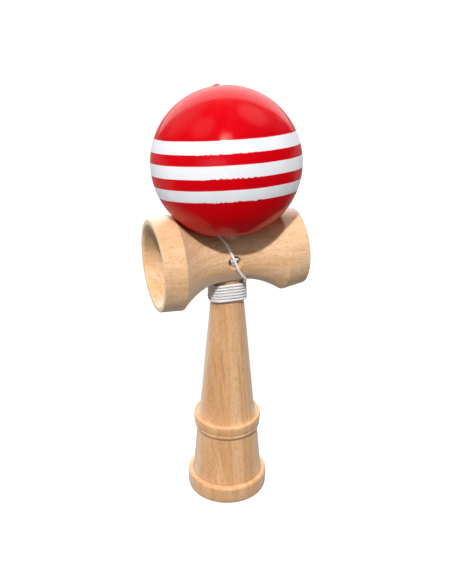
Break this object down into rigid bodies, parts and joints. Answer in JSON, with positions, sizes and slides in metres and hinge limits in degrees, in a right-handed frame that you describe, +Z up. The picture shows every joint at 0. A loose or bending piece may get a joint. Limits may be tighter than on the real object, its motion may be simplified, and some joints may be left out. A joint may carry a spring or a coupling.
{
  "type": "kendama",
  "caption": "Turned wooden cup-and-ball toy: tapered handle with a base cup and spike, a two-cup crosspiece, a banded ball resting on the spike and a cord wound round the handle",
  "frame": {"origin": "centre of the ring-shaped face the base stands on", "axes": "+Z up the handle towards the spike; X along the crosspiece, big cup on -X and small cup on +X; -Y is the side of the knot hole"},
  "size_m": [0.062, 0.0612, 0.1846],
  "materials": {
    "handle_wood": "pale close-grained turned wood, smooth satin, grain along the handle",
    "crosspiece_wood": "pale close-grained turned wood, smooth satin, end grain in the cups",
    "ball_paint": "high-gloss red lacquer on wood with three white painted bands",
    "bead": "small plain wooden bead",
    "cord": "thin white braided cord"
  },
  "bodies": {
    "handle_set": {"handle": "handle_wood", "crosspiece": "crosspiece_wood", "anchor_knot": "cord", "cord_lead": "cord", "cord_coil": "cord", "cord_riser": "cord"},
    "cord_end": {"cord_over_ball": "cord", "cord_in_ball": "cord", "end_knot": "cord"},
    "ball": {"ball": "ball_paint"},
    "bead": {"inner_bead": "bead"}
  },
  "joints": [
    {"name": "ball_lift", "type": "slide", "parent": "handle_set", "child": "cord_end", "axis": [0.0262, 0.2571, 0.966], "range_m": [0, 0.045], "deforming": ["cord_riser"]},
    {"name": "ball_spin", "type": "hinge", "parent": "cord_end", "child": "ball", "pos_m": [0, 0.0012, 0.15459], "axis": [0.0262, 0.2571, 0.966], "continuous": true},
    {"name": "bead_spin", "type": "hinge", "parent": "cord_end", "child": "bead", "pos_m": [0, 0.0012, 0.15459], "axis": [0.0262, 0.2571, 0.966], "continuous": true}
  ]
}
